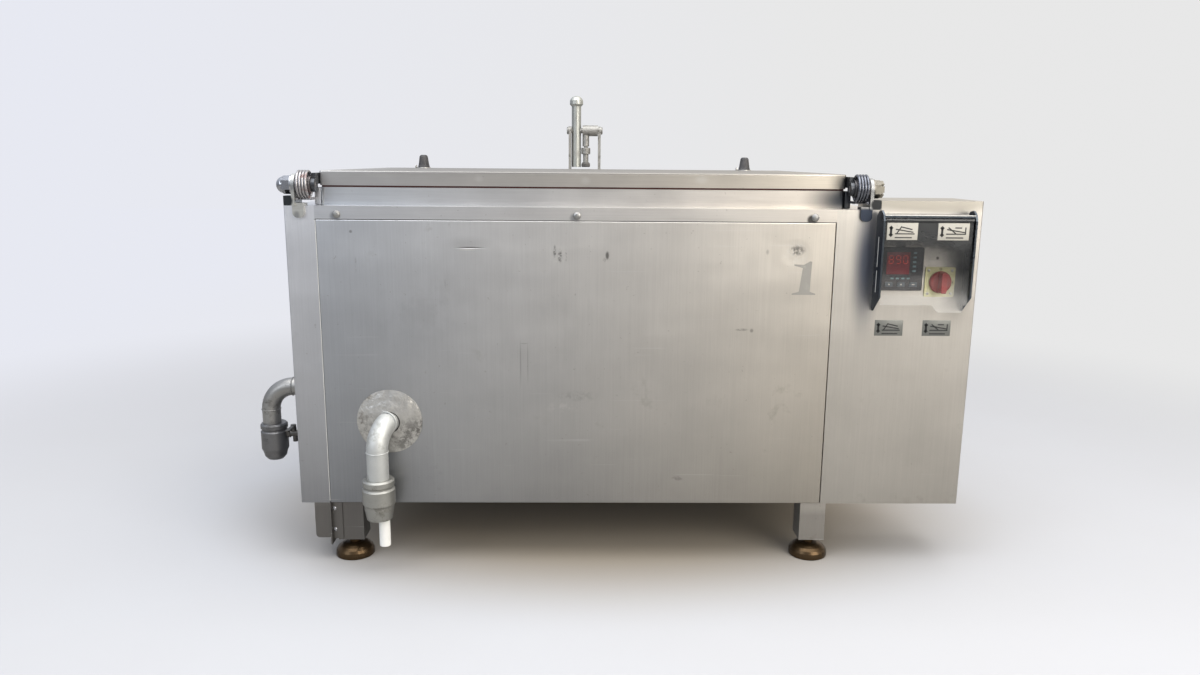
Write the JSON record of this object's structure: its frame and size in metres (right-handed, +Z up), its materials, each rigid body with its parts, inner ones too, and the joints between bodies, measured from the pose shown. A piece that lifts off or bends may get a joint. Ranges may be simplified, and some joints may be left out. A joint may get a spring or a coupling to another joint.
{
  "type": "steam jacketed kettle",
  "caption": "Rectangular steam jacketed kettle on feet, with a front-hinged lid, a rear lid clamp, a front drain and a side control cabinet with a clear splash flap.",
  "frame": {"origin": "on the floor, under the middle of the footprint", "axes": "+X to the right along the housing, +Y from the front to the back, +Z up"},
  "size_m": [1.6555, 0.9192, 1.116],
  "materials": {
    "frame_steel": "ground tube",
    "foot_bronze": "worn bronze-brown",
    "housing_steel": "fine ground sheet",
    "bright_steel": "bright turned",
    "vessel_steel": "matt ground",
    "mineral_wool": "fibrous",
    "pipe_steel": "dull pipe",
    "white_plastic": "matt",
    "brass": "cast and turned",
    "black_plastic": "fine grain",
    "chrome": "polished",
    "spring_steel": "drawn wire",
    "zinc_steel": "zinc plated",
    "yellow_plastic": "satin",
    "dark_steel": "dark mirror sheet",
    "lid_steel": "fine ground sheet",
    "red_silicone": "matt",
    "black_rubber": "matt",
    "clear_plastic": "hazy clear sheet",
    "red_plastic": "gloss",
    "grey_plastic": "soft keys"
  },
  "bodies": {
    "kettle": {"frame_rails": "frame_steel", "legs": "frame_steel", "foot_discs": "foot_bronze", "foot_stems": "foot_bronze", "leg_side_cover": "housing_steel", "bottom_tray": "housing_steel", "left_panel": "housing_steel", "front_panel": "housing_steel", "rear_panel": "housing_steel", "right_panel": "housing_steel", "top_deck": "housing_steel", "panel_screws": "bright_steel", "inner_vessel": "vessel_steel", "steam_jacket": "vessel_steel", "jacket_stays": "vessel_steel", "insulation": "mineral_wool", "drain_pipe": "pipe_steel", "drain_flange": "bright_steel", "drain_bend": "bright_steel", "drain_coupling": "pipe_steel", "drain_spout": "white_plastic", "condensate_pipe": "pipe_steel", "condensate_trap": "pipe_steel", "drain_cock_body": "brass", "steam_supply_pipe": "pipe_steel", "steam_valve_body": "brass", "steam_valve_coil": "black_plastic", "jacket_safety_valve": "brass", "temperature_probe": "bright_steel", "drain_strainer": "vessel_steel", "hinge_brackets": "housing_steel", "stub_axles": "bright_steel", "cap_nut": "chrome", "castle_nut": "bright_steel", "torsion_spring_left": "spring_steel", "torsion_spring_right": "spring_steel", "clamp_standards": "frame_steel", "cabinet_panel": "housing_steel", "cabinet_top": "housing_steel", "cabinet_back": "housing_steel", "mounting_plate": "zinc_steel", "switchgear": "black_plastic", "controller_case": "black_plastic", "switch_base": "yellow_plastic", "control_hood": "dark_steel"},
    "lid": {"lid_shell": "lid_steel", "lid_liner": "lid_steel", "lid_gasket": "red_silicone", "lid_arms": "lid_steel", "lid_grips": "black_plastic"},
    "clamp_arm": {"clamp_shaft": "bright_steel", "clamp_handle": "chrome"},
    "press_screw": {"press_spindle": "bright_steel", "press_foot": "black_rubber"},
    "splash_flap": {"splash_flap": "clear_plastic"},
    "switch_knob": {"switch_knob": "red_plastic"},
    "cock_lever": {"drain_cock_lever": "bright_steel"},
    "key_one": {"controller_key_1": "grey_plastic"},
    "key_two": {"controller_key_2": "grey_plastic"},
    "key_three": {"controller_key_3": "grey_plastic"}
  },
  "joints": [
    {"name": "lid_hinge", "type": "hinge", "parent": "kettle", "child": "lid", "pos_m": [-0.05025, -0.35644, 0.871], "axis": [1, 0, 0], "range_deg": [0, 95]},
    {"name": "clamp_swing", "type": "hinge", "parent": "kettle", "child": "clamp_arm", "pos_m": [-0.05025, 0.41256, 1.015], "axis": [1, 0, 0], "range_deg": [-24, 40]},
    {"name": "press_screw_travel", "type": "slide", "parent": "clamp_arm", "child": "press_screw", "axis": [0, 0, -1], "range_m": [0, 0.008]},
    {"name": "flap_hinge", "type": "hinge", "parent": "kettle", "child": "splash_flap", "pos_m": [0.69575, -0.40844, 0.807], "axis": [-1, 0, 0], "range_deg": [0, 85]},
    {"name": "main_switch_turn", "type": "hinge", "parent": "kettle", "child": "switch_knob", "pos_m": [0.74275, -0.37044, 0.669], "axis": [0, 1, 0], "range_deg": [0, 90]},
    {"name": "drain_cock_turn", "type": "hinge", "parent": "kettle", "child": "cock_lever", "pos_m": [-0.75025, -0.25044, 0.292], "axis": [0, 0, 1], "range_deg": [0, 90]},
    {"name": "key_1_press", "type": "slide", "parent": "kettle", "child": "key_one", "axis": [0, 1, 0], "range_m": [0, 0.0008], "stiffness_N_per_m": 300},
    {"name": "key_2_press", "type": "slide", "parent": "kettle", "child": "key_two", "axis": [0, 1, 0], "range_m": [0, 0.0008], "stiffness_N_per_m": 300},
    {"name": "key_3_press", "type": "slide", "parent": "kettle", "child": "key_three", "axis": [0, 1, 0], "range_m": [0, 0.0008], "stiffness_N_per_m": 300}
  ]
}
